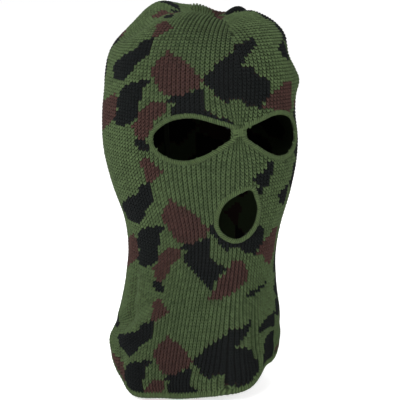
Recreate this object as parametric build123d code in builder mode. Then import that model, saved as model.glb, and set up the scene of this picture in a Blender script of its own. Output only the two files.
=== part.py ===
"""Knitted three-hole balaclava: one hood and neck tube, shaped as it sits when worn.

Millimetres, +Z up. The origin is the centre of the neck opening, on the plane the hem rests on.
The face looks along -Y, so the wearer's right side is -X.
"""
import os
from math import cos, hypot, pi, radians, sin

from build123d import *

os.makedirs("parts", exist_ok=True)

# Cloth
FABRIC = 3.0  # thickness of the double-bed jacquard knit
SEAM_ALLOWANCE = 4.0  # how far an overlocked seam stands inside the cloth
SEAM_WIDTH = 2.4
PROUD = 1.2  # how far a binding stands out of the cloth on each side
THREAD = 0.6  # thickness of a sewing stitch on top of a binding

# The tube, level by level: height, half width, front depth, back depth, squareness of the section
LEVELS = [
    (0, 66, 70, 71, 2.9),
    (14, 70, 71, 76, 2.8),
    (30, 71, 72, 77, 2.5),
    (65, 68, 77, 72, 2.3),
    (100, 63, 84, 66, 2.2),
    (122, 61, 91, 67, 2.15),
    (150, 64.5, 98, 74, 2.1),
    (180, 74, 100, 88, 2.1),
    (210, 80.5, 100, 98, 2.1),
    (240, 81.5, 99, 99, 2.1),
    (262, 80.5, 97, 97, 2.1),
]
CHIN_HEIGHT = 122  # the tube is narrowest here, where the neck meets the hood
BRIM_HEIGHT = 262  # the four gores of the crown start here
SECTION_POINTS = 24
SECTION_START = 0.75 * pi  # the section's spline starts behind the wearer's left ear, clear of the holes

# The crown: a squarish dome that the two crossing seams pull in
CROWN_RISE = 70
CROWN_SQUARENESS = 3.0
CROWN_ANGLES = (20, 40, 57, 72, 84)  # degrees up the dome
CROWN_BACKSET = 4  # the apex lies this far behind the tube's axis
VALLEY_DEPTH = 0.07  # how far the seams pull in, as a share of the radius

# Eye holes: each on a plane turned to its side of the face
EYE_TURN = 34
EYE_CENTRE = (35, -81, 232)
EYE_EDGE = [(-32.5, 5.5), (-16, 14.5), (1, 17.3), (19, 12.5), (31.5, 0), (24, -12.5), (3, -17.5), (-20, -9)]
EYE_STITCHES = 54

# Mouth hole: a leaning egg, pulled to the wearer's left at the top
MOUTH_CENTRE = (1, -80, 170.5)
MOUTH_EDGE = [(7, 20), (14, 11.5), (16.5, 1.8), (12, -12), (0, -20.9), (-12, -17), (-17.6, -6.5), (-12, 10)]
MOUTH_STITCHES = 40

BINDING_WIDTH = 5.0
BINDING_TUCK = 1.2  # the cloth's cut edge stops this far inside the binding
STITCH_LEAN = 35  # degrees between an overlock stitch and the square crossing of its binding
REACH = 50  # how far a hole's cutter runs on each side of its plane

STITCH_WIDTH = 1.0
STITCH_GAP = 0.06  # a flat stitch clears the curved binding under it
STITCH_SHARE = 0.86  # how much of the binding's width a stitch crosses

# Hem
HEM_HEIGHT = 5.5
HEM_STITCHES = 84
HEM_STITCH_HEIGHT = 3.0

# Gather and tacks
GATHER_RADIUS = 7
GATHER_RISE = 1.6  # how far the gathered cloth stands out of the crown
GATHER_DEPTH = 4.5  # how far it reaches down through the crown
GATHER_ROUND = 1.2
GATHER_PLEATS = 8
PLEAT_RADIUS = 0.9
TACK_RADIUS = 3.2
TACK_TURNS = 3
BRIDGE_THREADS = 6
BRIDGE_PITCH = 1.25
BRIDGE_LENGTH = 12
BRIDGE_HEIGHT = 237.5
BRIDGE_FRONT = -102
BRIDGE_GAP = 0.4  # between the two eye bindings, where they come closest

BOX = 400  # larger than the object, for cutting blocks
BELOW_FLOOR = -5  # forms that are cut off at the hem start below it


def section_point(angle, half_width, front, back, squareness, backset=0.0, valley=0.0):
    """One point of a level's outline; angle 0 is the face, and 90 degrees is the wearer's left."""
    side, ahead = sin(angle), cos(angle)
    power = 2 / squareness
    depth = front if ahead > 0 else back
    pull = 1 - valley * cos(2 * angle) ** 4
    across = half_width * pull * abs(side) ** power
    along = depth * pull * abs(ahead) ** power
    return (across if side > 0 else -across, backset + (-along if ahead > 0 else along))


def draw_section(height, *shape):
    """Sketch one closed level of the tube."""
    angles = [SECTION_START + 2 * pi * i / SECTION_POINTS for i in range(SECTION_POINTS)]
    with BuildSketch(Plane.XY.offset(height)) as sketch:
        with BuildLine():
            Spline(*[section_point(angle, *shape) for angle in angles], periodic=True)
        make_face()
    return sketch.sketch


def hood_form(inset, foot=0.0):
    """The solid form inside the surface that lies inset deep in the cloth, from the foot level up."""
    sections = []
    for height, half_width, front, back, squareness in LEVELS:
        shape = (half_width - inset, front - inset, back - inset, squareness)
        sections.append(draw_section(height if height else foot, *shape))
    rise = CROWN_RISE - inset
    for degrees in CROWN_ANGLES:
        turn = radians(degrees)
        shrink = cos(turn) ** (2 / CROWN_SQUARENESS)
        climb = sin(turn) ** (2 / CROWN_SQUARENESS)
        spans = [shrink * span for span in shape[:3]]
        backset = CROWN_BACKSET * (1 - shrink)
        valley = VALLEY_DEPTH * climb**4
        sections.append(draw_section(BRIM_HEIGHT + rise * climb, *spans, shape[3], backset, valley))
    with BuildPart() as form:
        loft(sections)
    return form.part


def eye_plane(side):
    """The plane of one eye hole; side is -1 on the wearer's right and +1 on the left."""
    turn = radians(EYE_TURN)
    x, y, z = EYE_CENTRE
    across = (cos(turn), side * sin(turn), 0)
    outward = (side * sin(turn), -cos(turn), 0)
    return Plane(origin=(side * x, y, z), x_dir=across, z_dir=outward)


def grown(points, margin):
    """A hole's outline points, each moved outwards, square to the line between its neighbours."""
    moved = []
    for i, (x, y) in enumerate(points):
        before, after = points[i - 1], points[(i + 1) % len(points)]
        run, climb = after[0] - before[0], after[1] - before[1]
        reach = margin / hypot(run, climb)
        moved.append((x - climb * reach, y + run * reach))
    return moved


def edge_sketch(plane, points, margin):
    """A hole's outline on its plane, grown by margin; the points run clockwise."""
    with BuildSketch(plane) as sketch:
        with BuildLine():
            Spline(*grown(points, margin), periodic=True)
        make_face()
    return sketch.sketch


def prism(sketch):
    """A cutter through the cloth, both ways along the sketch's normal."""
    with BuildPart() as cutter:
        extrude(sketch, amount=REACH, both=True)
    return cutter.part


def seat(surface, start, direction):
    """The place and the normal for a stitch, where a line from inside the form leaves its surface."""
    hits = surface.find_intersection_points(Axis(start, direction))
    ahead = [hit for hit in hits if (hit[0] - Vector(start)).dot(direction) > 0]
    point, normal = min(ahead, key=lambda hit: (hit[0] - Vector(start)).length)
    if normal.dot(direction) < 0:
        normal = -normal
    return point + normal * (THREAD / 2 + STITCH_GAP), normal


def binding_stitches(surface, plane, points, count):
    """Overlock stitches that lean across a binding, all the way round it."""
    path = edge_sketch(plane, points, BINDING_WIDTH / 2).face().outer_wire()
    stitches = []
    for i in range(count):
        start = path.position_at(i / count) - plane.z_dir * REACH / 3
        spot, normal = seat(surface, start, plane.z_dir)
        with BuildPart(Plane(spot, x_dir=path.tangent_at(i / count), z_dir=normal)) as stitch:
            Box(STITCH_WIDTH, STITCH_SHARE * BINDING_WIDTH, THREAD, rotation=(0, 0, STITCH_LEAN))
        stitches.append(stitch.part)
    return stitches


def layer(outside, inside):
    """The closed layer between two hood forms."""
    with BuildPart() as between:
        add(outside)
        add(inside, mode=Mode.SUBTRACT)
    return between.part


def slab(centre, size):
    """A cutting block."""
    with BuildPart() as block:
        with Locations(centre):
            Box(*size)
    return block.part


# Forms that the pieces are cut from
skin = hood_form(0)
lining = hood_form(FABRIC, BELOW_FLOOR)
outer_rim = hood_form(-PROUD, BELOW_FLOOR)
inner_rim = hood_form(FABRIC + PROUD, BELOW_FLOOR)
seam_inside = hood_form(FABRIC + SEAM_ALLOWANCE, BELOW_FLOOR)
wall = layer(skin, lining)
rim_layer = layer(outer_rim, inner_rim)

# The three holes: name, plane, outline and number of overlock stitches
mouth_plane = Plane(origin=MOUTH_CENTRE, x_dir=(1, 0, 0), z_dir=(0, -1, 0))
right_eye_edge = [(-across, up) for across, up in reversed(EYE_EDGE)]
HOLES = [
    ("eye", "_right", eye_plane(-1), right_eye_edge, EYE_STITCHES),
    ("eye", "_left", eye_plane(1), EYE_EDGE, EYE_STITCHES),
    ("mouth", "", mouth_plane, MOUTH_EDGE, MOUTH_STITCHES),
]

# The whole cloth, less its hem end and its three holes
with BuildPart() as cloth:
    add(wall)
    add(slab((0, 0, HEM_HEIGHT - BOX / 2), (BOX, BOX, BOX)), mode=Mode.SUBTRACT)
    for _, _, plane, edge, _ in HOLES:
        add(prism(edge_sketch(plane, edge, BINDING_TUCK)), mode=Mode.SUBTRACT)

# Panels of the tube, each between two levels and on one side of the ears
chin = Plane.XY.offset(CHIN_HEIGHT)
brim = Plane.XY.offset(BRIM_HEIGHT)
floor = Plane.XY
PANELS = [
    ("neck_front", floor, chin, Keep.TOP),
    ("neck_rear", floor, chin, Keep.BOTTOM),
    ("face_panel", chin, brim, Keep.TOP),
    ("rear_panel", chin, brim, Keep.BOTTOM),
]
for name, low, high, half in PANELS:
    with BuildPart() as panel:
        add(cloth.part)
        split(bisect_by=low, keep=Keep.TOP)
        split(bisect_by=high, keep=Keep.BOTTOM)
        split(bisect_by=Plane.XZ, keep=half)
    panel.part.label = name
    export_step(panel.part, f"parts/{name}.step")

# Crown: four gores between two crossing seams, gathered at the apex
apex = (0, CROWN_BACKSET)
apex_height = BRIM_HEIGHT + CROWN_RISE * sin(radians(CROWN_ANGLES[-1])) ** (2 / CROWN_SQUARENESS)
with BuildPart() as gather_bore:
    with Locations((*apex, apex_height)):
        Cylinder(GATHER_RADIUS, BOX / 4)

for side, side_name in ((-1, "right"), (1, "left")):
    for back, back_name in ((-1, "front"), (1, "rear")):
        corner = (side * (BOX + SEAM_WIDTH) / 2, CROWN_BACKSET + back * (BOX + SEAM_WIDTH) / 2)
        with BuildPart() as gore:
            add(cloth.part)
            add(slab((*corner, BRIM_HEIGHT + BOX / 2), (BOX, BOX, BOX)), mode=Mode.INTERSECT)
            add(gather_bore.part, mode=Mode.SUBTRACT)
        gore.part.label = f"crown_gore_{back_name}_{side_name}"
        export_step(gore.part, f"parts/{gore.part.label}.step")

fore_aft_slot = slab((0, 0, BRIM_HEIGHT + BOX / 2), (SEAM_WIDTH, BOX, BOX))
side_slot = slab((0, CROWN_BACKSET, BRIM_HEIGHT + BOX / 2), (BOX, SEAM_WIDTH, BOX))
back_slot = slab((0, BOX / 2, (HEM_HEIGHT + BRIM_HEIGHT) / 2), (SEAM_WIDTH, BOX, BRIM_HEIGHT - HEM_HEIGHT))

with BuildPart() as crown_seam_fore_aft:
    add(layer(skin, seam_inside))
    add(fore_aft_slot, mode=Mode.INTERSECT)
    add(gather_bore.part, mode=Mode.SUBTRACT)
crown_seam_fore_aft.part.label = "crown_seam_fore_aft"
export_step(crown_seam_fore_aft.part, "parts/crown_seam_fore_aft.step")

with BuildPart() as crown_seam_side:
    add(layer(skin, seam_inside))
    add(side_slot, mode=Mode.INTERSECT)
    add(fore_aft_slot, mode=Mode.SUBTRACT)
    add(gather_bore.part, mode=Mode.SUBTRACT)
crown_seam_side.part.label = "crown_seam_side"
export_step(crown_seam_side.part, "parts/crown_seam_side.step")

with BuildPart() as back_seam:
    add(layer(lining, seam_inside))
    add(back_slot, mode=Mode.INTERSECT)
back_seam.part.label = "back_seam"
export_step(back_seam.part, "parts/back_seam.step")

with BuildPart() as crown_gather:
    with Locations((*apex, apex_height + (GATHER_RISE - GATHER_DEPTH) / 2)):
        Cylinder(GATHER_RADIUS, GATHER_RISE + GATHER_DEPTH)
    fillet(crown_gather.edges().filter_by(GeomType.CIRCLE), GATHER_ROUND)
    with Locations((*apex, apex_height)):
        with PolarLocations(GATHER_RADIUS, GATHER_PLEATS):
            Cylinder(PLEAT_RADIUS, BOX / 4, mode=Mode.SUBTRACT)
crown_gather.part.label = "crown_gather"
export_step(crown_gather.part, "parts/crown_gather.step")

with BuildPart() as crown_tack:
    for turn in range(TACK_TURNS):
        with Locations((*apex, apex_height + GATHER_RISE + THREAD / 2 + turn * THREAD)):
            Torus(TACK_RADIUS - turn * THREAD, THREAD / 2)
crown_tack.part.label = "crown_tack"
export_step(crown_tack.part, "parts/crown_tack.step")

# Bindings round the holes, and the overlock stitches on them; each eye's binding keeps to its own side
HALVES = {"_right": -1, "_left": 1}
for hole, side, plane, edge, count in HOLES:
    with BuildPart() as tucked_cloth:
        add(wall)
        add(prism(edge_sketch(plane, edge, 2 * BINDING_WIDTH)), mode=Mode.INTERSECT)
        add(prism(edge_sketch(plane, edge, BINDING_TUCK)), mode=Mode.SUBTRACT)
    with BuildPart() as binding:
        add(rim_layer)
        add(prism(edge_sketch(plane, edge, BINDING_WIDTH)), mode=Mode.INTERSECT)
        add(prism(edge_sketch(plane, edge, 0)), mode=Mode.SUBTRACT)
        add(tucked_cloth.part, mode=Mode.SUBTRACT)
        if side:
            half = (HALVES[side] * (BOX + BRIDGE_GAP) / 2, 0, BRIDGE_HEIGHT)
            add(slab(half, (BOX, BOX, BOX)), mode=Mode.INTERSECT)
    binding.part.label = f"{hole}_binding{side}"
    export_step(binding.part, f"parts/{hole}_binding{side}.step")

    with BuildPart() as stitches:
        add(binding_stitches(outer_rim, plane, edge, count))
    stitches.part.label = f"{hole}_stitches{side}"
    export_step(stitches.part, f"parts/{hole}_stitches{side}.step")

# The tack across the nose bridge, where the two eye bindings are drawn together
with BuildPart() as nose_bridge_tack:
    for i in range(BRIDGE_THREADS):
        height = BRIDGE_HEIGHT + (i - (BRIDGE_THREADS - 1) / 2) * BRIDGE_PITCH
        with Locations(Location((0, BRIDGE_FRONT, height), (0, 90, 0))):
            Cylinder(THREAD, BRIDGE_LENGTH)
nose_bridge_tack.part.label = "nose_bridge_tack"
export_step(nose_bridge_tack.part, "parts/nose_bridge_tack.step")

# Hem: a rolled welt round the neck opening, and the stitches along its top edge
with BuildPart() as neck_hem:
    add(rim_layer)
    add(slab((0, 0, HEM_HEIGHT / 2), (BOX, BOX, HEM_HEIGHT)), mode=Mode.INTERSECT)
neck_hem.part.label = "neck_hem"
export_step(neck_hem.part, "parts/neck_hem.step")

with BuildPart() as hem_stitches:
    for i in range(HEM_STITCHES):
        turn = 2 * pi * i / HEM_STITCHES
        outward = Vector(sin(turn), -cos(turn), 0)
        spot, normal = seat(outer_rim, (0, 0, HEM_HEIGHT - HEM_STITCH_HEIGHT / 2), outward)
        with Locations(Plane(spot, x_dir=(0, 0, 1), z_dir=normal)):
            Box(HEM_STITCH_HEIGHT, STITCH_WIDTH, THREAD)
hem_stitches.part.label = "hem_stitches"
export_step(hem_stitches.part, "parts/hem_stitches.step")
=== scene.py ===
# %% [markdown]
# # A knitted balaclava
# The object is a hood and neck tube knitted in three yarns, with bound holes for the eyes and the mouth.
# Nearly everything that the eye reads as "knit" is real geometry here: each stitch is a small V of two yarn
# legs. One V is modelled once, repeated flat as a swatch, and the swatch is then wrapped round the hood.
# The wrap is a function from cloth coordinates (which wale, which course) to a place in space, so every
# piece that lies on the cloth can use it: the stitches, the ground behind them, the bindings and the hem.

# %% Load the frame
from math import cos, pi, radians, sin

import bmesh
import bpy
import numpy as np
from mathutils import Matrix, Vector


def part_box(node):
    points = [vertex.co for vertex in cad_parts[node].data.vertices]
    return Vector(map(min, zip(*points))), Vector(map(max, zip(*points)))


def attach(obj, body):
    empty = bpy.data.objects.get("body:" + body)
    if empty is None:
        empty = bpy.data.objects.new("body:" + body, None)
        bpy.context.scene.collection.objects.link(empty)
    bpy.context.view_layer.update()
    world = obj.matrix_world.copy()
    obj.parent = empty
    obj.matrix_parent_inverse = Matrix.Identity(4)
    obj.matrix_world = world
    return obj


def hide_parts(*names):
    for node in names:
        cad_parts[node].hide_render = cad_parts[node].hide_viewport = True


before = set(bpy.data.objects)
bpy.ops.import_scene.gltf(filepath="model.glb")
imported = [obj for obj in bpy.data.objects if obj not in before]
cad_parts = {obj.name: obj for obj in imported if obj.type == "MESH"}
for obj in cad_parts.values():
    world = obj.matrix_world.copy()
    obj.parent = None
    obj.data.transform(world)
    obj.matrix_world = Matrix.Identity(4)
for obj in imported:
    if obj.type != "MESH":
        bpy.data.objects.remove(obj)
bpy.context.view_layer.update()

MM = 0.001

# %% [markdown]
# ## The form of the hood
# A knit tube takes the shape of the head in it. That shape is a stack of level outlines. Each outline is a
# superellipse: squareness 2 is an ellipse, and a higher value pushes the corners out. Only a few levels
# are given, and a smooth curve runs between them. The heights of the chin, the brim and the top are read
# from the frame's own panels.

# %% Levels of the tube
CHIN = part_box("neck_front")[1][2] / MM
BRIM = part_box("face_panel")[1][2] / MM
CROWN_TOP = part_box("crown_gore_front_left")[1][2] / MM

# height, half width, front depth, back depth, squareness, in millimetres
LEVELS = np.array([
    (0, 66, 70, 71, 2.9),
    (14, 70, 71, 76, 2.8),
    (30, 71, 72, 77, 2.5),
    (65, 68, 77, 72, 2.3),
    (100, 63, 84, 66, 2.2),
    (122, 61, 91, 67, 2.15),
    (150, 64.5, 98, 74, 2.1),
    (180, 74, 100, 88, 2.1),
    (210, 80.5, 100, 98, 2.1),
    (240, 81.5, 99, 99, 2.1),
    (262, 80.5, 97, 97, 2.1),
])


def smooth(x, xs, ys):
    """A smooth curve through (xs, ys), read at x: cubic pieces that share their slopes."""
    slopes = np.gradient(ys, xs)
    i = np.clip(np.searchsorted(xs, x) - 1, 0, len(xs) - 2)
    width = xs[i + 1] - xs[i]
    t = np.clip((x - xs[i]) / width, 0, 1)
    start = (2 * t**3 - 3 * t**2 + 1) * ys[i] + (t**3 - 2 * t**2 + t) * width * slopes[i]
    end = (3 * t**2 - 2 * t**3) * ys[i + 1] + (t**3 - t**2) * width * slopes[i + 1]
    return start + end


def ramp(x, low, high):
    """0 below low, 1 above high, and a smooth step between."""
    t = np.clip((x - low) / (high - low), 0, 1)
    return t * t * (3 - 2 * t)


def bell(x, middle, width):
    """1 at the middle, falling to nothing about two widths away."""
    return np.exp(-(((x - middle) / width) ** 2))


print(f"chin {CHIN:.0f}, brim {BRIM:.0f}, top {CROWN_TOP:.0f} mm")

# %% [markdown]
# The crown is a squarish dome. Courses of knit are all equally tall, so the wrap has to be even along the
# cloth, not in height: the dome is measured once along its arc, and a table turns arc length into a place.

# %% The crown's arc
CROWN_SQUARENESS = 3.0
BACKSET = 4.0
SIDE_LEAN = 11.0  # the apex lies this far to the wearer's left of the tube's axis
LAST_TURN = 89.5
rise = (CROWN_TOP - BRIM) / sin(radians(LAST_TURN)) ** (2 / CROWN_SQUARENESS)
mean_radius = LEVELS[-1, 1:4].mean()
dome_turn = np.radians(np.linspace(0, LAST_TURN, 200))
dome_shrink = np.cos(dome_turn) ** (2 / CROWN_SQUARENESS)
dome_climb = np.sin(dome_turn) ** (2 / CROWN_SQUARENESS)
dome_steps = np.hypot(np.diff(mean_radius * dome_shrink), np.diff(rise * dome_climb))
dome_arc = np.concatenate([[0], np.cumsum(dome_steps)])
CLOTH_LENGTH = BRIM + dome_arc[-1]


def level_shape(s):
    """Half width, front depth, back depth and squareness at a length s up the cloth."""
    height = np.minimum(s, BRIM)
    return [smooth(height, LEVELS[:, 0], LEVELS[:, i]) for i in (1, 2, 3, 4)]


def form(theta, s):
    """The smooth hood: theta is 0 at the face and grows to the wearer's left; s runs up the cloth."""
    half_width, front, back, squareness = level_shape(s)
    past_brim = np.clip(s - BRIM, 0, dome_arc[-1])
    shrink = np.interp(past_brim, dome_arc, dome_shrink)
    climb = np.interp(past_brim, dome_arc, dome_climb)
    side, ahead = np.sin(theta), np.cos(theta)
    depth = np.where(ahead > 0, front, back)
    x = half_width * shrink * np.sign(side) * np.abs(side) ** (2 / squareness) + SIDE_LEAN * (1 - shrink)
    y = -depth * shrink * np.sign(ahead) * np.abs(ahead) ** (2 / squareness) + BACKSET * (1 - shrink)
    return np.stack([x, y, np.minimum(s, BRIM) + rise * climb], -1)


print(f"the cloth is {CLOTH_LENGTH:.0f} mm long from hem to apex")

# %% [markdown]
# ## Folds
# Cloth never sits like a lathe turning. The crown has four lobes between its seams and a dimple at the
# gather, the neck has a pleat in front and a fold at the side, and the hem hangs unevenly. Each of these is
# a small bump or hollow, written as a bell curve across it and a ramp along it, and all are added up.

# %% Relief
CROWN_REACH = 121  # millimetres of cloth from the brim to where the dimple is deepest


def degrees_from(theta, middle):
    """Signed angle from a direction, in degrees."""
    return (np.degrees(theta) - middle + 180) % 360 - 180


def relief(theta, s):
    """How far the cloth stands out of the smooth form, in millimetres."""
    crown = np.clip((s - BRIM) / CROWN_REACH, 0, 1)
    seam = np.abs(np.cos(2 * theta))
    out = 2.5 * (1 - seam**2) * ramp(crown, 0.25, 0.75) - 2.6 * seam**16 * ramp(crown, 0.35, 0.9)
    out -= 2.5 * bell(degrees_from(theta, 0), 0, 7) * ramp(crown, 0.66, 0.8)
    out -= 7.5 * ramp(crown, 0.74, 0.98)
    out += 7.0 * bell(degrees_from(theta, -146), 0, 42) * bell(crown, 0.74, 0.17)
    out -= 10.5 * bell(degrees_from(theta, -102), 0, 28) * bell(crown, 0.55, 0.18)
    out -= 3.0 * bell(degrees_from(theta, -88), 0, 30) * bell(s, 284, 26)
    out += 5.0 * bell(degrees_from(theta, 98), 0, 20) * bell(crown, 0.8, 0.1)
    out -= 6.5 * bell(degrees_from(theta, 133), 0, 14) * ramp(crown, 0.6, 0.85)
    out += 4.5 * bell(degrees_from(theta, 176), 0, 20) * bell(crown, 0.78, 0.14)
    # the wearer's left temple: pinched in over a bulge
    out -= 9.5 * bell(degrees_from(theta, 84), 0, 26) * bell(s, 298, 11)
    out += 4.0 * bell(degrees_from(theta, 80), 0, 24) * bell(s, 272, 9)
    out -= 4.0 * bell(degrees_from(theta, 80), 0, 24) * bell(s, 246, 13)
    # the nose lifts the cloth, and the cheeks beside it are slack
    out += 2.5 * bell(degrees_from(theta, 0), 0, 9) * bell(s, 200, 24)
    out -= 1.6 * bell(np.abs(degrees_from(theta, 0)), 24, 9) * bell(s, 176, 22)
    # neck: a pleat in front, a fold at the wearer's right, and slow waves
    neck = 1 - ramp(s, 20, 105)
    out -= 4.5 * bell(degrees_from(theta, 16), 0, 4) * bell(s, 50, 28)
    out += 3.0 * bell(degrees_from(theta, 8), 0, 6) * bell(s, 48, 30)
    out -= 4.0 * bell(degrees_from(theta, 44), 0, 22) * (1 - ramp(s, 10, 60))
    out += 4.5 * bell(degrees_from(theta, -82), 0, 28) * (1 - ramp(s, 0, 64))
    off_fold = degrees_from(theta, 0) + 57 - 0.81 * (s - 78)
    out += 4.5 * bell(off_fold, 0, 8) * bell(s, 48, 32) - 3.5 * bell(off_fold, -17, 8) * bell(s, 56, 30)
    out -= 2.5 * bell(degrees_from(theta, -83), 0, 4) * bell(s, 88, 26)
    out += 5.5 * bell(degrees_from(theta, -102), 0, 26) * bell(s, 4, 15)
    out -= 2.5 * bell(degrees_from(theta, 74), 0, 26) * bell(s, 34, 30)
    out += 1.8 * np.sin(5 * theta + 0.9) * neck + 1.0 * np.sin(9 * theta - 0.02 * s) * neck
    out += 0.5 * np.sin(7 * theta + 0.035 * s) * ramp(s, 100, 150)
    return out


def hem_lift(theta, s):
    """The hem hangs lowest at the front, and it is drawn up at the sides."""
    lift = 6.5
    for middle, width, height in ((80, 48, 30), (28, 15, 8.5), (-128, 34, 24), (180, 46, 15), (-74, 24, -2)):
        lift = lift + height * bell(degrees_from(theta, middle), 0, width)
    return lift * (1 - ramp(s, 0, 110)) ** 1.5


def cloth(theta, s):
    """A point on the cloth, in millimetres."""
    step = 1e-3
    place = form(theta, s)
    across = form(theta + step, s) - form(theta - step, s)
    along = form(theta, np.minimum(s + 0.4, CLOTH_LENGTH)) - form(theta, s - 0.4)
    normal = np.cross(across, along)
    normal /= np.linalg.norm(normal, axis=-1, keepdims=True)
    place = place + normal * relief(theta, s)[..., None]
    place[..., 2] += hem_lift(theta, s)
    return place


def cloth_normal(theta, s):
    """The outward normal of the folded cloth."""
    across = cloth(theta + 2e-3, s) - cloth(theta - 2e-3, s)
    along = cloth(theta, np.minimum(s + 0.6, CLOTH_LENGTH)) - cloth(theta, s - 0.6)
    normal = np.cross(across, along)
    return normal / np.linalg.norm(normal, axis=-1, keepdims=True)


print("front of the hem is at", cloth(np.array([0.0]), np.array([0.0])).round(1))

# %% [markdown]
# ## Holes
# Each hole is an outline on a plane that faces it. The outline is a smooth closed curve through a few
# points. It is pushed along its plane's normal until it meets the form, which gives it in cloth coordinates.
# The same outline, grown by a margin, says which stitches to leave out and where the binding's middle runs.

# %% Outlines of the holes
EYE_TURN = 34
EYE_CENTRE = (35, -81, 232)
EYE_EDGE = [(-32.5, 5.5), (-16, 14.5), (1, 17.3), (19, 12.5), (31.5, 0), (24, -12.5), (3, -17.5), (-20, -9)]
MOUTH_CENTRE = (1, -80, 170.5)
MOUTH_EDGE = [(7, 20), (14, 11.5), (16.5, 1.8), (12, -12), (0, -20.9), (-12, -17), (-17.6, -6.5), (-12, 10)]
OUTLINE_POINTS = 192
BRIDGE = 237.5  # the height of the tack between the eyes


def closed_curve(points, count):
    """A smooth closed curve through the points, read at count places an equal length apart."""
    points = np.array(points, float)
    t = np.linspace(0, len(points), 24 * len(points), endpoint=False)
    i, f = t.astype(int), (t % 1)[:, None]
    p0, p1, p2, p3 = [points[(i + k) % len(points)] for k in (-1, 0, 1, 2)]
    curve = p1 + 0.5 * f * (p2 - p0 + f * (2 * p0 - 5 * p1 + 4 * p2 - p3 + f * (3 * (p1 - p2) + p3 - p0)))
    ring = np.vstack([curve, curve[:1]])
    length = np.concatenate([[0], np.cumsum(np.linalg.norm(np.diff(ring, axis=0), axis=1))])
    spots = np.linspace(0, length[-1], count, endpoint=False)
    return np.stack([np.interp(spots, length, ring[:, k]) for k in (0, 1)], -1)


def grown(curve, margin):
    """The closed curve moved outwards by margin."""
    tangent = np.roll(curve, -1, 0) - np.roll(curve, 1, 0)
    tangent /= np.linalg.norm(tangent, axis=1, keepdims=True)
    outward = np.stack([tangent[:, 1], -tangent[:, 0]], -1)
    if np.sum(outward * (curve - curve.mean(0))) < 0:
        outward = -outward
    moved = curve + margin * outward
    for _ in range(3):
        moved = (np.roll(moved, 1, 0) + 2 * moved + np.roll(moved, -1, 0)) / 4
    return moved


def on_cloth(curve, centre, turn):
    """An outline on the plane at centre, turned by turn degrees, as cloth coordinates theta and s."""
    angle = radians(turn)
    x = centre[0] + curve[:, 0] * cos(angle)
    y = centre[1] + curve[:, 0] * sin(angle)
    s = centre[2] + curve[:, 1]
    half_width, front, _, squareness = level_shape(s)
    near, far = np.full(len(x), -60.0), np.full(len(x), 80.0)
    for _ in range(40):
        middle = (near + far) / 2
        px, py = x + middle * sin(angle), y - middle * cos(angle)
        inside = (np.abs(px) / half_width) ** squareness + (np.abs(py) / front) ** squareness < 1
        near, far = np.where(inside, middle, near), np.where(inside, far, middle)
    px = np.clip(np.abs(x + near * sin(angle)) / half_width, 0, 1)
    theta = np.arcsin(px ** (squareness / 2)) * np.sign(x + near * sin(angle))
    return np.stack([theta, s], -1)


def drawn_in(outline):
    """An outline in cloth coordinates, with what lies beside the nose bridge drawn in by the tack."""
    theta, s = outline.T
    pull = 0.22 * bell(s, BRIDGE, 12) * bell(np.degrees(theta), 0, 11)
    return np.stack([theta * (1 - pull), s], -1)


def hole(name, margin):
    """The outline of a hole, grown by margin, in cloth coordinates."""
    if name == "mouth":
        return drawn_in(on_cloth(grown(closed_curve(MOUTH_EDGE, OUTLINE_POINTS), margin), MOUTH_CENTRE, 0))
    side = -1 if name == "eye_right" else 1
    edge = [(side * across, up) for across, up in EYE_EDGE]
    centre = (side * EYE_CENTRE[0], EYE_CENTRE[1], EYE_CENTRE[2])
    return drawn_in(on_cloth(grown(closed_curve(edge, OUTLINE_POINTS), margin), centre, side * EYE_TURN))


def inside_polygon(x, y, polygon):
    """True for each point inside the polygon, by counting the edges that a level ray crosses."""
    inside = np.zeros(np.shape(x), bool)
    for (x1, y1), (x2, y2) in zip(polygon, np.roll(polygon, -1, 0)):
        if y1 == y2:
            continue
        crosses = ((y1 > y) != (y2 > y)) & (x < (x2 - x1) * (y - y1) / (y2 - y1) + x1)
        inside ^= crosses
    return inside


HOLES = ("eye_right", "eye_left", "mouth")
for name in HOLES:
    spans = np.ptp(cloth(*hole(name, 0).T), axis=0)
    print(name, "spans", spans.round(0), "mm")

# %% [markdown]
# ## Wales and courses
# A wale is a column of stitches and a course is a row. This cloth has 132 wales round and a few more
# courses up. Two things bend the wales. The tack on the nose bridge draws them together, and over the crown
# each of the four gores keeps its wales more nearly parallel, so that they run into the seams and end there.

# %% From stitches to cloth coordinates
WALES = 132
COURSE = 2.901  # the height of a stitch, in millimetres
COURSES = int(CLOTH_LENGTH / COURSE)
ROUGH_RADIUS = 90  # of the hood, in millimetres


def to_cloth(wale, course):
    """Theta and s of a place in the knit; wale 66 is the middle of the face."""
    s = course * COURSE
    theta = (wale / WALES) * 2 * pi - pi
    gore = (np.floor(theta / (pi / 2)) + 0.5) * (pi / 2)
    past_brim = np.clip(s - BRIM, 0, dome_arc[-1])
    spread = np.interp(past_brim, dome_arc, dome_shrink) ** -0.55
    theta = gore + (theta - gore) * spread
    turn = np.degrees(theta)
    draw = 0.62 * bell(s, BRIDGE, 20) * bell(turn, 0, 11) + 0.1 * bell(s, BRIDGE, 45) * bell(turn, 0, 20)
    return theta * (1 - draw), s


def beyond_seam(wale, course):
    """True where a wale of a gore has already run into its seam."""
    theta, _ = to_cloth(wale, course)
    gore = (np.floor(((wale / WALES) * 2 * pi - pi) / (pi / 2)) + 0.5) * (pi / 2)
    return np.abs(theta - gore) > pi / 4 + 0.01


def in_a_hole(theta, s, margin):
    """True inside any of the three holes, grown by margin."""
    cut = np.zeros(np.shape(theta), bool)
    for name in HOLES:
        cut |= inside_polygon(theta * ROUGH_RADIUS, s, hole(name, margin) * (ROUGH_RADIUS, 1))
    return cut


print(f"a stitch is {2 * pi * ROUGH_RADIUS / WALES:.1f} mm wide and {COURSE:.1f} mm tall")

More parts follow.
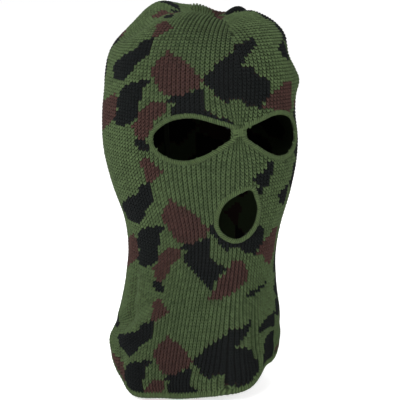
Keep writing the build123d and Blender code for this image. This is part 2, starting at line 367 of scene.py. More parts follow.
# %% [markdown]
# ## The pattern chart
# A jacquard pattern is drawn as a chart, one square for each stitch. This one is a woodland pattern: green
# ground with brown and black patches, which repeats every 42 courses. The patches are drawn as
# polygons in wales and courses, and each stitch takes the yarn of the patch that its middle is in.

# %% The chart
GREEN, BROWN, BLACK = 0.0, 1.0, 2.0
REPEAT = 42
PATCHES = [
    (BROWN, [(50.6, 104.8), (48.2, 101.5), (46.8, 98), (48.5, 95), (50, 92), (53.8, 92), (58.4, 95),
             (58.7, 97), (56.4, 99.7), (53.6, 102.6)]),
    (BLACK, [(46, 109), (43, 107.5), (41.8, 105.2), (38.1, 103), (34.5, 100.8), (32, 98), (33.2, 94.8),
             (37.6, 94.8), (40.6, 97), (42.8, 100.5), (46, 104)]),
    (BROWN, [(43.4, 115), (45, 112), (44.6, 109.6), (47, 109.2), (50, 112), (48.4, 114.4), (46.4, 116.2)]),
    (BLACK, [(46.8, 95.6), (44.8, 93.8), (45.2, 91.6), (44, 88.6), (43.6, 85.5), (41.4, 82.8), (37, 81.6),
             (35, 83.2), (36.8, 86.4), (35.8, 88.8), (37.4, 92), (41.8, 95.4)]),
    (BROWN, [(50.6, 90), (51.4, 88.4), (48.5, 85), (47.2, 81.4), (45.2, 78.4), (43, 80.2), (42.2, 82.4),
             (44, 85), (44.6, 87.6), (47.5, 90)]),
    (BLACK, [(43.2, 78.4), (45, 79.2), (47, 77.4), (46.6, 76), (43.6, 76.2)]),
    (BLACK, [(50, 90.6), (52.6, 92), (55, 92.6), (58.2, 94.2), (59.4, 92), (59, 88), (54, 88), (53.2, 90.2)]),
    (BLACK, [(52, 89.4), (57.5, 89.4), (60, 87.4), (63.8, 84.6), (62, 83), (61.4, 80), (60, 77.2), (59.2, 80),
             (57.6, 81), (56.2, 82.6), (53.8, 84.4), (52.4, 86.4)]),
    (BLACK, [(72, 109), (70.2, 107.8), (66.6, 107), (65, 104.5), (62.4, 102.2), (60, 98.6), (58.8, 96.4),
             (60, 94.4), (63.1, 90.2), (66.4, 91.6), (68.2, 89.2), (71.8, 88.4), (74, 92), (74.5, 96),
             (71.2, 97.4), (69.6, 99.6), (67, 100), (68.2, 103), (71.8, 106)]),
    (BROWN, [(78.8, 95), (82.4, 94.4), (82.2, 88), (80, 83.6), (76.4, 85.4), (75, 88), (71.8, 88.2),
             (74, 91.6), (77, 93.4)]),
    (BROWN, [(35, 91), (36.6, 88.4), (36.2, 85.2), (34, 82.4), (30, 79.4), (24.6, 78.2), (22, 82), (24, 86.6),
             (29, 88.2), (33, 90.2)]),
    (BLACK, [(77.6, 104.6), (81, 106.4), (86, 108), (91, 106.6), (90, 102.8), (84, 100.6), (80, 101.8)]),
    (BLACK, [(22, 101), (26, 99.6), (27.4, 96.2), (24.8, 92.6), (20.2, 92), (17, 95.2), (18.6, 99.4)]),
    (BROWN, [(18.4, 110), (22, 109.4), (24.6, 106), (21, 103.2), (17.2, 105.4)]),
    (BLACK, [(84, 92.4), (87.6, 91.2), (88.8, 86.8), (86, 83.2), (83.4, 86)]),
]
SINGLES = [
    (BLACK, [(68.8, 68.4), (70.4, 70.2), (72, 70), (73.2, 72.8), (75, 72.8), (75.2, 70.2), (73.8, 68),
             (73.4, 65.6), (72, 65.6), (70.6, 67.4)]),
    (BROWN, [(65.6, 44.8), (68.2, 44.4), (70.4, 41), (69.9, 38.4), (68, 36), (65, 33.6), (60, 32.8),
             (61.4, 35.6), (62.5, 39.8), (64.2, 42.6)]),
    (BLACK, [(70.4, 33.4), (72, 35.4), (75.4, 35.6), (78.2, 37.2), (77.4, 35.6), (74, 34.2), (72.6, 33)]),
    (GREEN, [(72.6, 17), (71.4, 12), (72.6, 8), (73.2, 2), (75, 2), (75.6, 8), (76.6, 13), (75.4, 17)]),
    (BLACK, [(75.2, 2), (75.6, 8), (77, 13), (82, 15.4), (90, 16), (90, 9), (84, 2)]),
    (BLACK, [(74, 18.4), (74.6, 22), (79, 24), (92, 26), (92, 22.6), (86, 20), (79, 18)]),
    (BLACK, [(66.4, 2.6), (66.4, 8), (72.4, 8), (72.8, 3.4), (70, 2)]),
]


def yarn_at(wale, course):
    """The yarn of each stitch. The chart covers half the tube, and the other half is the same, moved up."""
    wale, course = np.asarray(wale, float), np.asarray(course, float)
    turned = (wale - 17) % WALES
    rear = turned >= WALES / 2
    chart_wale = turned % (WALES / 2) + 17
    chart_course = course + np.where(rear, REPEAT / 2, 0)
    yarn = np.full(wale.shape, GREEN)
    for colour in (BROWN, BLACK):
        for patch_colour, polygon in PATCHES:
            if patch_colour != colour:
                continue
            for lift in (1, 0, -1, -2, -3):
                moved = np.array(polygon) + (0, lift * REPEAT)
                for wrap in (0, -WALES / 2):
                    yarn[inside_polygon(chart_wale, chart_course, moved + (wrap, 0))] = colour
    for colour, polygon in SINGLES:
        yarn[inside_polygon(wale, course, np.array(polygon)) & ~rear] = colour
    return yarn


chart = yarn_at(*np.meshgrid(np.arange(WALES) + 0.5, np.arange(COURSES) + 0.5))
for label, colour in (("green", GREEN), ("brown", BROWN), ("black", BLACK)):
    print(f"{label}: {np.mean(chart == colour):.0%} of the stitches")

# %% [markdown]
# ## Yarn finishes
# Shader maths reads best as Python, so a small class wraps a socket and gives it the usual operators. Each
# operator adds one Math node. Any other node comes from one method, which takes the node's type, its
# settings and what its inputs should hold.

# %% A small shader language
class Wire:
    """A number on a node link, which can be added, multiplied and compared."""

    def __init__(self, finish, socket):
        self.finish = finish
        self.socket = socket

    def _math(self, operation, other):
        return self.finish.node("ShaderNodeMath", {"operation": operation}, {0: self, 1: other})

    def __add__(self, other):
        return self._math("ADD", other)

    def __mul__(self, other):
        return self._math("MULTIPLY", other)

    def __gt__(self, other):
        return self._math("GREATER_THAN", other)


class Finish:
    """A material whose nodes are added one call at a time."""

    def __init__(self, name, **constants):
        self.material = bpy.data.materials.new(name)
        self.material.use_nodes = True
        self.tree = self.material.node_tree
        self.shader = self.tree.nodes["Principled BSDF"]
        for socket, value in constants.items():
            self.shader.inputs[socket.replace("_", " ")].default_value = value

    def node(self, kind, settings=None, values=None, output=0):
        new = self.tree.nodes.new(kind)
        for key, value in (settings or {}).items():
            setattr(new, key, value)
        for key, value in (values or {}).items():
            if isinstance(value, Wire):
                self.tree.links.new(value.socket, new.inputs[key])
            else:
                new.inputs[key].default_value = value
        return Wire(self, new.outputs[output])

    def attribute(self, name):
        return self.node("ShaderNodeAttribute", {"attribute_name": name}, output="Fac")

    def place(self):
        return self.node("ShaderNodeTexCoord", output="Object")

    def noise(self, scale, detail, roughness=0.5):
        values = {"Vector": self.place(), "Scale": scale, "Detail": detail, "Roughness": roughness}
        return self.node("ShaderNodeTexNoise", values=values)

    def blend(self, amount, first, second):
        values = {0: amount, 6: first, 7: second}
        return self.node("ShaderNodeMix", {"data_type": "RGBA", "clamp_factor": True}, values, output=2)

    def drive(self, socket, wire):
        self.tree.links.new(wire.socket, self.shader.inputs[socket])

    def bump(self, height, distance, strength):
        values = {"Height": height, "Distance": distance, "Strength": strength}
        self.drive("Normal", self.node("ShaderNodeBump", values=values))


# %% [markdown]
# ### Yarn
# The yarn is a matt acrylic with a soft halo of fibres. A little sheen stands in for the halo. Its colour
# comes from the stitch's own yarn attribute, and two noises vary it: a coarse one for dye and wear, and a
# fine one for the fibres. The fine one also feeds a Bump node. Each yarn has a lit colour and a darker colour
# of painted shade, and a tone painted on the vertices blends between them. The tone is partly random and
# partly painted shade: lighter high on each stitch, darker low in the gaps between the yarns.

# %% Yarn colours
def linear(r, g, b):
    """A colour read in screen values, turned into the linear values that shaders use."""
    return tuple(((c / 255 + 0.055) / 1.055) ** 2.4 for c in (r, g, b)) + (1.0,)


# each yarn comes as a lit colour and a darker copy, which is painted shade
GREEN_YARN = linear(74, 90, 58)
GREEN_SHADE = linear(25, 32, 20)
BROWN_YARN = linear(66, 45, 41)
BROWN_SHADE = linear(31, 21, 19)
BLACK_YARN = linear(16, 19, 20)
BLACK_SHADE = linear(5, 6, 7)


def yarn_finish(name, depth, fuzz):
    """Three yarns told apart by the stitch's attribute; a depth below 1 darkens the whole towards near-black,
    as painted shade for the yarn in the gaps.
    """
    finish = Finish(name, Roughness=0.9, Sheen_Weight=fuzz, Sheen_Roughness=0.5, Specular_IOR_Level=0.05)
    yarn = finish.attribute("yarn")
    # painted shade and random tone: the vertex tone and a fine fibre noise blend each yarn from its
    # painted-shade colour to its lit colour
    shade_and_tone = finish.attribute("shade_and_tone") * 0.55 + finish.noise(900, 3.0) * 0.45
    green = finish.blend(shade_and_tone, GREEN_SHADE, GREEN_YARN)
    brown = finish.blend(shade_and_tone, BROWN_SHADE, BROWN_YARN)
    black = finish.blend(shade_and_tone, BLACK_SHADE, BLACK_YARN)
    colour = finish.blend(yarn > 0.5, green, brown)
    colour = finish.blend(yarn > 1.5, colour, black)
    wear = finish.noise(28, 4.0, 0.6)
    colour = finish.blend(wear * 0.4, colour, finish.blend(0.35, colour, linear(30, 34, 27)))
    # painted shade: the colour is blended towards near-black by 1 - depth
    colour = finish.blend(1 - depth, colour, linear(4, 5, 4))
    finish.drive("Base Color", colour)
    finish.bump(finish.noise(2600, 3.0, 0.7), 0.0005, 0.7)
    return finish.material


def plain_yarn(name, light, dark):
    """One yarn, for the bindings, the hem and the threads, blended from its dark colour to its light one by
    the vertex tone, which is mostly painted shade.
    """
    finish = Finish(name, Roughness=0.88, Sheen_Weight=0.02, Sheen_Roughness=0.5, Specular_IOR_Level=0.05)
    shade_and_tone = finish.attribute("shade_and_tone") * 0.6 + finish.noise(1500, 3.0) * 0.4
    finish.drive("Base Color", finish.blend(shade_and_tone, dark, light))
    finish.bump(finish.noise(2600, 3.0, 0.7), 0.0005, 0.7)
    return finish.material


KNIT_YARN = yarn_finish("knit_yarn", 1.0, 0.02)
# the ground behind the stitches is blended mostly to near-black: painted shade in the gaps between the
# stitches
GROUND_YARN = yarn_finish("ground_yarn", 0.3, 0.0)
BINDING_CORE = plain_yarn("binding_core", linear(40, 50, 30), linear(26, 33, 19))
BINDING_YARN = plain_yarn("binding_yarn", linear(66, 80, 50), linear(32, 41, 25))
DARK_THREAD = plain_yarn("dark_thread", linear(38, 45, 32), linear(20, 24, 18))
print(len(bpy.data.materials), "finishes")

# %% [markdown]
# ## One stitch, and the swatch
# The face of a knit stitch is a V: two legs of yarn that lean outwards and tuck under the stitch above. A
# leg is a small sphere, stretched and leaned. Thousands are needed, so each has only thirty triangles and is
# shaded smooth. Two Array modifiers repeat the V into a flat swatch, where x counts wales, y counts courses
# and z is the height above the cloth in millimetres.

# %% The V of one stitch
LEG_LENGTH = 0.66
LEG_WIDTH = 0.17
LEG_HEIGHT = 1.15
LEG_LEAN = 0.165
LEG_APART = 0.198


def add_leg(bm, side):
    """One leg of a V, in wales and courses; its poles are at its two ends."""
    leg = bmesh.ops.create_uvsphere(bm, u_segments=5, v_segments=4, radius=1.0)["verts"]
    for vert in leg:
        x, y, z = vert.co
        along = z
        vert.co = (x * LEG_WIDTH * (1 + 0.15 * along), along * LEG_LENGTH, y * LEG_HEIGHT - 0.75 * along)
        vert.co.x += side * (LEG_APART + LEG_LEAN * along)


def swatch(name, wales, courses):
    """A flat mesh of wales by courses stitches, made with two arrays. Returns it and the verts in a V."""
    bm = bmesh.new()
    add_leg(bm, -1)
    add_leg(bm, 1)
    bmesh.ops.recalc_face_normals(bm, faces=bm.faces)
    mesh = bpy.data.meshes.new(name)
    bm.to_mesh(mesh)
    verts_each = len(bm.verts)
    bm.free()
    piece = bpy.data.objects.new(name, mesh)
    bpy.context.collection.objects.link(piece)
    for count, offset in ((wales, (1, 0, 0)), (courses, (0, 1, 0))):
        array = piece.modifiers.new("repeat", "ARRAY")
        array.count = count
        array.use_relative_offset = False
        array.use_constant_offset = True
        array.constant_offset_displace = offset
    flat = bpy.data.meshes.new_from_object(piece.evaluated_get(bpy.context.evaluated_depsgraph_get()))
    piece.modifiers.clear()
    piece.data = flat
    bpy.data.meshes.remove(mesh)
    flat.name = name
    return piece, verts_each


def read_points(mesh):
    points = np.empty(len(mesh.vertices) * 3)
    mesh.vertices.foreach_get("co", points)
    return points.reshape(-1, 3)


def write_points(mesh, points):
    mesh.vertices.foreach_set("co", (points * MM).ravel())
    mesh.update()


def paint(mesh, name, values):
    """A number for each vertex, which a material can read."""
    layer = mesh.attributes.new(name, "FLOAT", "POINT")
    layer.data.foreach_set("value", np.asarray(values, np.float32))


def finish_piece(piece, material, nodes=()):
    """The last step for every piece: material, shading, the body it rides on and what it replaces."""
    piece.data.materials.clear()
    piece.data.materials.append(material)
    piece.data.polygons.foreach_set("use_smooth", [True] * len(piece.data.polygons))
    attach(piece, "root")
    if nodes:
        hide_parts(*nodes)
    return piece


# %% [markdown]
# ## Wrapping the swatch
# Every vertex of the flat swatch knows its wale, its course and its height, so wrapping is one sum: the
# place on the cloth, plus the height times the normal. Stitches inside a hole or past a seam are deleted
# first. A few hundredths of a stitch of jitter, from a seeded generator, keeps the rows from looking ruled.

# %% Wrap
STITCH_BED = -0.85  # the middle of the yarn lies this far under the surface of the CAD cloth
STITCH_MARGIN = 1.0  # stitches end this far outside the edge of a hole


def knit_panel(name, node, first_wale, wales, first_course, courses, seed):
    """One panel of real stitches."""
    piece, verts_each = swatch(name, wales, courses)
    mesh = piece.data
    flat = read_points(mesh)
    number = np.arange(len(flat)) // verts_each
    wale = first_wale + number % wales + 0.5
    course = first_course + number // wales + 0.5
    stitch_wale, stitch_course = wale[::verts_each], course[::verts_each]
    theta, s = to_cloth(stitch_wale, stitch_course)
    gone = in_a_hole(theta, s, STITCH_MARGIN) | beyond_seam(stitch_wale, stitch_course)

    rng = np.random.default_rng(seed)
    jitter = rng.normal(0, 1, (len(stitch_wale), 4))[number]
    x = wale + (flat[:, 0] - number % wales) + 0.018 * jitter[:, 0]
    y = course + (flat[:, 1] - number // wales) + 0.03 * jitter[:, 1]
    height = flat[:, 2] * (1 + 0.05 * jitter[:, 2]) + STITCH_BED
    theta, s = to_cloth(x, y)
    s = np.minimum(s, CLOTH_LENGTH)
    write_points(mesh, cloth(theta, s) + cloth_normal(theta, s) * height[:, None])
    # the tone is partly random and partly painted shade: lighter high on a leg, darker low in the gaps
    # between the yarns
    shade_and_tone = np.clip(0.5 + 0.16 * jitter[:, 3] + 0.28 * flat[:, 2], 0, 1)
    paint(mesh, "yarn", yarn_at(stitch_wale, stitch_course)[number])
    paint(mesh, "shade_and_tone", shade_and_tone)

    bm = bmesh.new()
    bm.from_mesh(mesh)
    bm.verts.ensure_lookup_table()
    doomed = [bm.verts[i] for i in np.flatnonzero(gone[number])]
    bmesh.ops.delete(bm, geom=doomed, context="VERTS")
    bm.to_mesh(mesh)
    bm.free()
    finish_piece(piece, KNIT_YARN, [node])
    triangles = sum(len(p.vertices) - 2 for p in mesh.polygons)
    print(f"{name}: {int((~gone).sum())} stitches, {triangles} triangles")
    return piece


HEM_COURSES = 2
CHIN_COURSE = round(CHIN / COURSE)
BRIM_COURSE = round(BRIM / COURSE)
TOP_COURSE = COURSES - 2
FRONT, REAR, QUARTER = WALES // 4, 3 * WALES // 4, WALES // 4
hood_courses = BRIM_COURSE - CHIN_COURSE
crown_courses = TOP_COURSE - BRIM_COURSE
neck_courses = CHIN_COURSE - HEM_COURSES
knit_pieces = [
    knit_panel("knit_neck_front", "neck_front", FRONT, 2 * QUARTER, HEM_COURSES, neck_courses, 1),
    knit_panel("knit_neck_rear", "neck_rear", REAR, 2 * QUARTER, HEM_COURSES, neck_courses, 2),
    knit_panel("knit_face", "face_panel", FRONT, 2 * QUARTER, CHIN_COURSE, hood_courses, 3),
    knit_panel("knit_rear", "rear_panel", REAR, 2 * QUARTER, CHIN_COURSE, hood_courses, 4),
]
GORES = [("rear_right", 0), ("front_right", 1), ("front_left", 2), ("rear_left", 3)]
for place, quarter in GORES:
    start = quarter * QUARTER
    node = f"crown_gore_{place}"
    gore = knit_panel(f"knit_gore_{place}", node, start, QUARTER, BRIM_COURSE, crown_courses, 5 + quarter)
    knit_pieces.append(gore)

# %% [markdown]
# ## The ground behind the stitches
# A double-bed jacquard has a second face inside. It closes the gaps between the stitches, and it is what one
# sees through the holes. It is one sheet: a grid with two columns for each wale, wrapped like the swatch,
# with its holes cut out and its edge joined at the back. A Solidify modifier, applied, gives it its
# thickness.

# %% The ground sheet
GROUND_DEPTH = -1.0
GROUND_THICKNESS = 1.5
GROUND_MARGIN = 1.8  # the sheet ends this far outside the edge of a hole


def loose_grid(name, columns, rows):
    """A flat grid from (0, 0) to (1, 1)."""
    bm = bmesh.new()
    bmesh.ops.create_grid(bm, x_segments=columns, y_segments=rows, size=0.5)
    bmesh.ops.translate(bm, vec=(0.5, 0.5, 0), verts=bm.verts)
    mesh = bpy.data.meshes.new(name)
    bm.to_mesh(mesh)
    bm.free()
    piece = bpy.data.objects.new(name, mesh)
    bpy.context.collection.objects.link(piece)
    return piece


def weld(mesh, distance):
    """Joins the edges of a wrapped grid that meet, and points its faces outwards."""
    bm = bmesh.new()
    bm.from_mesh(mesh)
    bmesh.ops.remove_doubles(bm, verts=bm.verts, dist=distance)
    bmesh.ops.recalc_face_normals(bm, faces=bm.faces)
    bm.to_mesh(mesh)
    bm.free()


ground = loose_grid("knit_ground", 2 * WALES, COURSES)
flat = read_points(ground.data)
wale = flat[:, 0] * WALES
course = 1.0 + flat[:, 1] * (COURSES - 2.0)
theta, s = to_cloth(wale, course)
theta = np.where(s < BRIM, theta, wale / WALES * 2 * pi - pi)  # over the crown the sheet has no seams
paint(ground.data, "yarn", yarn_at(np.floor(wale) + 0.5, np.floor(course) + 0.5))
paint(ground.data, "shade_and_tone", np.full(len(wale), 0.5))
write_points(ground.data, cloth(theta, s) + cloth_normal(theta, s) * (GROUND_DEPTH - 0.3))
bm = bmesh.new()
bm.from_mesh(ground.data)
bm.verts.ensure_lookup_table()
cut = in_a_hole(theta, s, GROUND_MARGIN)
bmesh.ops.delete(bm, geom=[bm.verts[i] for i in np.flatnonzero(cut)], context="VERTS")
bmesh.ops.remove_doubles(bm, verts=bm.verts, dist=1e-5)
bm.to_mesh(ground.data)
bm.free()
solid = ground.modifiers.new("thickness", "SOLIDIFY")
solid.thickness = GROUND_THICKNESS * MM
solid.offset = -1
thick = bpy.data.meshes.new_from_object(ground.evaluated_get(bpy.context.evaluated_depsgraph_get()))
ground.modifiers.clear()
ground.data = thick
finish_piece(ground, GROUND_YARN)
print("ground sheet:", len(thick.polygons), "faces")

# %% [markdown]
# ## Cords, bindings and overlock stitches
# A binding is a soft roll of knit, sewn over a cut edge, and the thread that sews it wraps over it in
# leaning stitches. Both follow a path on the cloth. A path is sampled once: at each sample it has a place, a
# direction, the cloth's normal and the direction across. A tube is a grid bent round the path. A
# wrapped stitch is a stretched sphere bent over the tube, so it follows the same path.

# %% Paths on the cloth
class Path:
    """A line on the cloth with a frame at every sample."""

    def __init__(self, theta, s, closed, sink):
        self.closed = closed
        normal = cloth_normal(theta, s)
        self.place = cloth(theta, s) + normal * np.broadcast_to(sink, np.shape(theta))[..., None]
        if closed:
            tangent = np.roll(self.place, -1, 0) - np.roll(self.place, 1, 0)
        else:
            tangent = np.gradient(self.place, axis=0)
        self.tangent = tangent / np.linalg.norm(tangent, axis=1, keepdims=True)
        across = np.cross(self.tangent, normal)
        self.across = across / np.linalg.norm(across, axis=1, keepdims=True)
        self.normal = np.cross(self.across, self.tangent)
        steps = np.linalg.norm(np.diff(self.place, axis=0), axis=1)
        self.length = steps.sum() + (np.linalg.norm(self.place[0] - self.place[-1]) if closed else 0)

    def read(self, values, t):
        """Values along the path at t, from 0 to 1."""
        count = len(values)
        if self.closed:
            at = (t % 1) * count
            i = np.floor(at).astype(int)
            return values[i % count] * (1 - (at - i))[:, None] + values[(i + 1) % count] * (at - i)[:, None]
        at = np.clip(t, 0, 1) * (count - 1)
        i = np.minimum(np.floor(at).astype(int), count - 2)
        return values[i] * (1 - (at - i))[:, None] + values[i + 1] * (at - i)[:, None]

    def around(self, t, angle, half_width, half_height):
        """Points round the path: angle 0 is across the cloth and 90 degrees is outwards."""
        side = self.read(self.across, t) * (half_width * np.cos(angle))[:, None]
        up = self.read(self.normal, t) * (half_height * np.sin(angle))[:, None]
        return self.read(self.place, t) + side + up


def tube(name, path, half_width, half_height, rings, sides, ripple=0.0, waves=0):
    """A soft roll along a path, with closed ends if the path is open."""
    piece = loose_grid(name, rings, sides)
    flat = read_points(piece.data)
    t, angle = flat[:, 0], flat[:, 1] * 2 * pi
    swell = 1 + ripple * np.sin(2 * pi * waves * t)
    if not path.closed:
        swell = swell * np.sqrt(np.clip(1 - np.abs(2 * t - 1) ** 40, 0, 1))
    write_points(piece.data, path.around(t, angle, half_width * swell, half_height * swell))
    # painted shade: the roll is lighter on its top and darker underneath
    paint(piece.data, "shade_and_tone", 0.5 + 0.35 * np.sin(angle))
    weld(piece.data, 2e-5)
    return piece


def wrapped_stitches(name, path, count, lean, reach, half_width, half_height, thread, seed, fatness):
    """Count stitches laid over a roll. Reach is how far round they go, in degrees on each side of the top."""
    bm = bmesh.new()
    bmesh.ops.create_uvsphere(bm, u_segments=6, v_segments=7, radius=1.0)
    mesh = bpy.data.meshes.new(name)
    bm.to_mesh(mesh)
    verts_each = len(bm.verts)
    bm.free()
    piece = bpy.data.objects.new(name, mesh)
    bpy.context.collection.objects.link(piece)
    array = piece.modifiers.new("repeat", "ARRAY")
    array.count = count
    array.use_relative_offset = False
    array.use_constant_offset = True
    array.constant_offset_displace = (10, 0, 0)
    flat_mesh = bpy.data.meshes.new_from_object(piece.evaluated_get(bpy.context.evaluated_depsgraph_get()))
    piece.modifiers.clear()
    piece.data = flat_mesh
    bpy.data.meshes.remove(mesh)
    flat = read_points(flat_mesh)
    number = np.arange(len(flat)) // verts_each
    rng = np.random.default_rng(seed)
    jitter = rng.normal(0, 1, (count, 4))[number]
    pitch = path.length / count
    local = flat - np.stack([number * 10, number * 0, number * 0], -1)
    along = number + 0.5 + local[:, 0] * 0.5 * fatness * thread / pitch * 2 + 0.05 * jitter[:, 0]
    along = along + local[:, 2] * lean * (1 + 0.1 * jitter[:, 1])
    angle = pi / 2 + local[:, 2] * radians(reach)
    lift = local[:, 1] * thread + 0.08 * jitter[:, 2]
    write_points(flat_mesh, path.around(along / count, angle, half_width + lift, half_height + lift))
    # partly random tone and partly painted shade: each loop is lighter where it stands off the roll and
    # darker against it
    paint(flat_mesh, "shade_and_tone", np.clip(0.55 + 0.14 * jitter[:, 3] + 0.3 * local[:, 1], 0, 1))
    weld(flat_mesh, 1e-7)
    return piece


# %% [markdown]
# ### The three bindings
# The roll is wider than it is thick. Its stitches lean, lie close together, and go from the cloth over the
# roll and into the hole.

# %% Bindings
BINDING_HALF_WIDTH = 1.9
BINDING_HALF_HEIGHT = 1.6
BINDING_MARGIN = 1.9  # the middle of the roll runs this far outside the edge of a hole
trim_pieces = []
NODE_NAMES = {"eye_right": "eye_{}_right", "eye_left": "eye_{}_left", "mouth": "mouth_{}"}
for seed, (name, node) in enumerate(NODE_NAMES.items()):
    theta, s = hole(name, BINDING_MARGIN).T
    theta = theta * (1 - 0.6 * bell(np.degrees(theta), 0, 7) * bell(s, BRIDGE, 10))
    path = Path(theta, s, True, sink=-0.7)
    roll = tube(f"binding_{name}", path, BINDING_HALF_WIDTH, BINDING_HALF_HEIGHT, 180, 12)
    finish_piece(roll, BINDING_CORE, [node.format("binding")])
    count = round(path.length / 1.75)
    lean = 1.1 if name != "eye_right" else -1.1
    loops = wrapped_stitches(f"overlock_{name}", path, count, lean, 118, BINDING_HALF_WIDTH,
                             BINDING_HALF_HEIGHT, 0.5, 20 + seed, 1.25)
    finish_piece(loops, BINDING_YARN, [node.format("stitches")])
    trim_pieces += [roll, loops]
    print(f"{name}: binding {path.length:.0f} mm long, {count} overlock stitches")

# %% [markdown]
# ### The hem
# The neck ends in a narrow welt, rolled in on itself. It is a tube all the way round, under two leaning loops
# of yarn for each wale.

# %% Hem
HEM_HALF_WIDTH = 2.9
HEM_HALF_HEIGHT = 2.2
ring = np.linspace(-pi, pi, 2 * WALES, endpoint=False)
hem_path = Path(ring, np.full(len(ring), 3.2), True, sink=-1.3)
hem_roll = tube("hem_roll", hem_path, HEM_HALF_WIDTH, HEM_HALF_HEIGHT, 2 * WALES, 12)
finish_piece(hem_roll, BINDING_CORE, ["neck_hem"])
hem_loops = wrapped_stitches("hem_loops", hem_path, 2 * WALES, 0.5, 120, HEM_HALF_WIDTH, HEM_HALF_HEIGHT,
                             0.55, 31, 1.1)
finish_piece(hem_loops, BINDING_YARN, ["hem_stitches"])
trim_pieces += [hem_roll, hem_loops]
print(f"hem: {hem_path.length:.0f} mm round")

# %% [markdown]
# ### Crown seams, gather and tack
# The gores meet in seams that sink into the cloth. At the apex the cloth is gathered into small pleats,
# which a few turns of thread tie down.

# %% Crown
seam_s = np.linspace(BRIM + 4, CLOTH_LENGTH - 2, 60)
seam_sink = -2.3 + 1.6 * ramp(seam_s, CLOTH_LENGTH - 60, CLOTH_LENGTH - 20)
for name, turns in (("crown_seam_fore_aft", (0, 180)), ("crown_seam_side", (-90, 90))):
    arms = []
    for turn in turns:
        path = Path(np.full(60, radians(turn)), seam_s, False, sink=seam_sink)
        arms.append(tube(f"{name}_{turn + 180}", path, 1.0, 0.9, 70, 8, 0.18, 42))
    bpy.context.view_layer.objects.active = arms[0]
    with bpy.context.temp_override(active_object=arms[0], selected_editable_objects=arms):
        bpy.ops.object.join()
    arms[0].name = f"{name}_cord"
    finish_piece(arms[0], DARK_THREAD, [name])
    trim_pieces.append(arms[0])

apex = cloth(np.array([0.0, pi]), np.array([CLOTH_LENGTH, CLOTH_LENGTH])).mean(0)
PLEATS = 11
bm = bmesh.new()
for i in range(PLEATS):
    pleat = bmesh.ops.create_uvsphere(bm, u_segments=12, v_segments=9, radius=1.0)["verts"]
    turn = 2 * pi * i / PLEATS
    size = 1 + 0.14 * sin(5.3 * i)
    for vert in pleat:
        x, y, z = vert.co
        reach = 9.2 + 7.4 * size * x
        pinch = 0.45 + 0.55 * min(1, max(0, reach / 13))
        across = 2.9 * y * pinch
        height = 2.1 * z * pinch - 0.5 + 0.06 * reach
        vert.co = (reach * cos(turn) - across * sin(turn), reach * sin(turn) + across * cos(turn), height)
bmesh.ops.translate(bm, vec=Vector(apex - (0, 0, 1.6)), verts=bm.verts)
bmesh.ops.scale(bm, vec=(MM, MM, MM), verts=bm.verts)
mesh = bpy.data.meshes.new("crown_gather_pleats")
bm.to_mesh(mesh)
bm.free()
gather = bpy.data.objects.new("crown_gather_pleats", mesh)
bpy.context.collection.objects.link(gather)
paint(mesh, "shade_and_tone", np.full(len(mesh.vertices), 0.35))
finish_piece(gather, BINDING_CORE, ["crown_gather"])

bm = bmesh.new()
for turn in range(4):
    radius = 3.4 - 0.55 * turn
    loop = bmesh.ops.create_circle(bm, segments=8, radius=0.5)["verts"]
    bmesh.ops.translate(bm, vec=(radius, 0, 0), verts=loop)
    bmesh.ops.rotate(bm, cent=(radius, 0, 0), matrix=Matrix.Rotation(pi / 2, 3, "X"), verts=loop)
    edges = list({edge for vert in loop for edge in vert.link_edges})
    bmesh.ops.spin(bm, geom=loop + edges, cent=(0, 0, 0), axis=(0, 0, 1), angle=2 * pi, steps=28,
                   use_merge=True)
    fresh = [vert for vert in bm.verts if not vert.tag]
    bmesh.ops.translate(bm, vec=(0.2 * turn, -0.15 * turn, 0.7 + 0.55 * turn), verts=fresh)
    for vert in bm.verts:
        vert.tag = True
bmesh.ops.recalc_face_normals(bm, faces=bm.faces)
bmesh.ops.translate(bm, vec=Vector(apex - (0, 0, 0.6)), verts=bm.verts)
bmesh.ops.scale(bm, vec=(MM, MM, MM), verts=bm.verts)
mesh = bpy.data.meshes.new("crown_tack_thread")
bm.to_mesh(mesh)
bm.free()
tack = bpy.data.objects.new("crown_tack_thread", mesh)
bpy.context.collection.objects.link(tack)
paint(mesh, "shade_and_tone", np.full(len(mesh.vertices), 0.5))
finish_piece(tack, DARK_THREAD, ["crown_tack"])
trim_pieces += [gather, tack]
print("apex at", apex.round(1))

# %% [markdown]
# ### The nose bridge tack and the back seam
# Between the eyes the two bindings are drawn together by a few turns of thread. Inside, the tube is closed at
# the back by a flat seam, drawn as one flat tape.

# %% Bridge tack and back seam
bridge_theta = np.radians(np.linspace(-3.4, 3.4, 40))
bridge_arch = np.sin(np.linspace(0, pi, 40))
threads = []
for i, (offset, tilt) in enumerate([(-2.2, 1.6), (-1.1, -1.4), (0.0, 0.6), (1.1, -1.2), (2.0, 1.4)]):
    wave = BRIDGE + offset + tilt * np.linspace(-1, 1, 40)
    path = Path(bridge_theta, wave, False, sink=0.1 + 1.3 * bridge_arch)
    threads.append(tube(f"bridge_thread_{i}", path, 0.6, 0.6, 48, 8, 0.12, 9))
for i, turn in enumerate((-0.7, 0.3, 1.1)):
    upright = BRIDGE + np.linspace(-3.6, 3.6, 30)
    path = Path(np.radians(np.full(30, turn)), upright, False, sink=2.0 - 1.8 * np.linspace(-1, 1, 30) ** 4)
    threads.append(tube(f"bridge_wrap_{i}", path, 0.55, 0.55, 36, 8, 0.12, 7))
with bpy.context.temp_override(active_object=threads[0], selected_editable_objects=threads):
    bpy.ops.object.join()
threads[0].name = "bridge_tack_threads"
finish_piece(threads[0], BINDING_YARN, ["nose_bridge_tack"])

back_s = np.linspace(8, BRIM, 90)
back_path = Path(np.full(90, pi), back_s, False, sink=-4.2)
back_tape = tube("back_seam_tape", back_path, 2.6, 1.2, 110, 10)
finish_piece(back_tape, DARK_THREAD, ["back_seam"])
trim_pieces += [threads[0], back_tape]

# %% [markdown]
# ## The ground sheet
# The ground sheet was knitted flat. Its area is less than its width times its length, because the crown
# narrows to nothing.

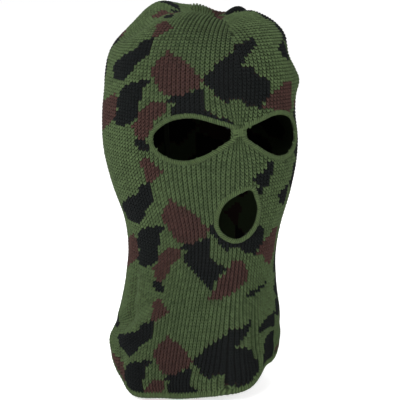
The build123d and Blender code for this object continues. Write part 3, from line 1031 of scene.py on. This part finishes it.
# %% [markdown]
# ## Studio
# A pale floor that glows a little, a soft key light in front and to the left, weaker fill and top lights,
# and a camera a little above the hood's middle, with a long lens.

# %% Floor, lights and camera
bm = bmesh.new()
bmesh.ops.create_grid(bm, x_segments=8, y_segments=8, size=9.0)
floor_mesh = bpy.data.meshes.new("studio_floor")
bm.to_mesh(floor_mesh)
bm.free()
studio_floor = bpy.data.objects.new("studio_floor", floor_mesh)
bpy.context.collection.objects.link(studio_floor)
floor_finish = Finish("studio_floor", Roughness=0.9, Specular_IOR_Level=0.0, Emission_Strength=0.65)
floor_finish.shader.inputs["Emission Color"].default_value = (1, 1, 1, 1)
floor_tone = floor_finish.noise(3, 2.0)
floor_finish.drive("Base Color", floor_finish.blend(floor_tone, (0.86, 0.86, 0.85, 1), (0.9, 0.9, 0.89, 1)))
studio_floor.data.materials.append(floor_finish.material)

world = bpy.data.worlds.new("studio")
bpy.context.scene.world = world
world.use_nodes = True
# the camera sees white, and the hood gets only a share of that light
SKY_SHARE = 0.45
sky = world.node_tree.nodes["Background"]
sky.inputs["Color"].default_value = (1, 1, 1, 1)
rays = world.node_tree.nodes.new("ShaderNodeLightPath")
share = world.node_tree.nodes.new("ShaderNodeMath")
share.operation = "MULTIPLY_ADD"
share.inputs[1].default_value = 1 - SKY_SHARE
share.inputs[2].default_value = SKY_SHARE
world.node_tree.links.new(rays.outputs["Is Camera Ray"], share.inputs[0])
world.node_tree.links.new(share.outputs[0], sky.inputs["Strength"])


HOOD_MIDDLE = Vector((0, 0, 0.17))


def soft_light(name, azimuth, elevation, distance, size, power):
    """A square light that faces the middle of the hood."""
    lamp = bpy.data.lights.new(name, "AREA")
    lamp.size = size
    lamp.energy = power
    rig = bpy.data.objects.new(name, lamp)
    bpy.context.collection.objects.link(rig)
    a, e = radians(azimuth), radians(elevation)
    back = Vector((sin(a) * cos(e), -cos(a) * cos(e), sin(e)))
    rig.location = HOOD_MIDDLE + back * distance
    rig.rotation_euler = back.to_track_quat("Z", "Y").to_euler()


soft_light("key", -42, 30, 1.4, 0.7, 24)
soft_light("fill", 12, 12, 1.6, 1.0, 11)
soft_light("top", 0, 80, 1.3, 0.8, 6)

VIEW_AZIMUTH, VIEW_ELEVATION, VIEW_DISTANCE = -19, 10, 1.25
camera = bpy.data.objects.new("camera", bpy.data.cameras.new("camera"))
bpy.context.collection.objects.link(camera)
a, e = radians(VIEW_AZIMUTH), radians(VIEW_ELEVATION)
back = Vector((sin(a) * cos(e), -cos(a) * cos(e), sin(e)))
aim = Vector((0, 0, 0.165))
camera.location = aim + back * VIEW_DISTANCE
camera.rotation_euler = back.to_track_quat("Z", "Y").to_euler()
camera.data.lens = 128
camera.data.sensor_width = 36
camera.data.shift_x = 1 / 400
camera.data.shift_y = 1 / 400
camera.data.clip_end = 20
bpy.context.scene.camera = camera
bpy.context.scene.view_settings.view_transform = "Standard"
